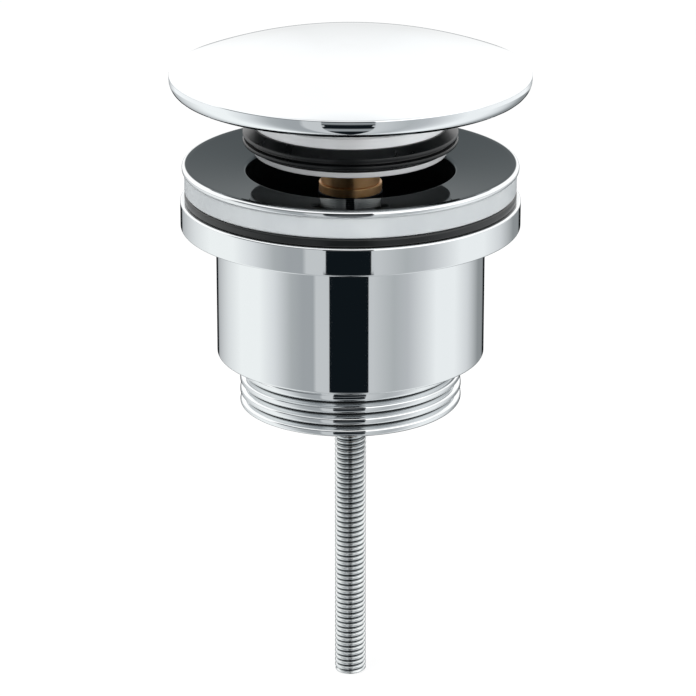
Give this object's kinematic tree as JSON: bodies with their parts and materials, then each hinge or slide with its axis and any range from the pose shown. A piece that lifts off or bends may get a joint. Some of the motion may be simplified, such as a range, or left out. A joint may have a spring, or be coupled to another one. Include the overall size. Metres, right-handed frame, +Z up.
{
  "type": "pop up basin waste",
  "caption": "Basin waste with a push-to-close mushroom plug over a dished flange, drawn onto the basin by a long screw through a lower body with a threaded tail.",
  "frame": {"origin": "on the axis, at the underside of the flange gasket, where the basin's surface lies", "axes": "+Z up along the axis, from the tail to the plug; X and Y are level, and the arms of the spiders lie between them"},
  "size_m": [0.0672, 0.0672, 0.1272],
  "materials": {
    "chrome": "polished chrome plate on brass",
    "brass": "turned brass",
    "black_rubber": "moulded black rubber",
    "white_rubber": "moulded pale translucent rubber",
    "steel": "zinc plated steel",
    "acetal": "moulded acetal"
  },
  "bodies": {
    "valve": {"valve_body": "chrome", "flange_gasket": "white_rubber", "cartridge_barrel": "brass", "barrel_cap": "brass", "cam_sleeve": "acetal", "plunger_wiper": "black_rubber", "spring_seat": "steel", "return_spring": "steel", "screw_seal": "black_rubber", "screw_washer": "steel"},
    "plug": {"plug_cap": "chrome", "plug_spool": "chrome", "plug_seal": "black_rubber", "plug_insert": "brass", "plunger_nut": "brass", "plunger": "brass", "thrust_washer": "steel"},
    "rotor": {"index_rotor": "acetal"},
    "screw": {"clamp_screw": "steel"},
    "lower": {"lower_body": "chrome", "lower_gasket": "black_rubber", "thread_bush": "brass"}
  },
  "joints": [
    {"name": "plug_slide", "type": "slide", "parent": "valve", "child": "plug", "axis": [0, 0, 1], "range_m": [-0.005, 0], "stiffness_N_per_m": 600, "springref_m": 0.006, "deforming": ["return_spring"]},
    {"name": "rotor_turn", "type": "hinge", "parent": "plug", "child": "rotor", "pos_m": [0, 0, 0], "axis": [0, 0, 1], "range_deg": [-1, 46]},
    {"name": "clamp_turn", "type": "hinge", "parent": "valve", "child": "screw", "pos_m": [0, 0, 0], "axis": [0, 0, 1], "range_deg": [-2, 18002]},
    {"name": "lower_slide", "type": "slide", "parent": "valve", "child": "lower", "axis": [0, 0, 1], "range_m": [-0.05, 0]}
  ],
  "couplings": [
    {"joint": "rotor_turn", "follows": "plug_slide", "rad_per_m": -157.08},
    {"joint": "clamp_turn", "follows": "lower_slide", "rad_per_m": -6283.2}
  ]
}
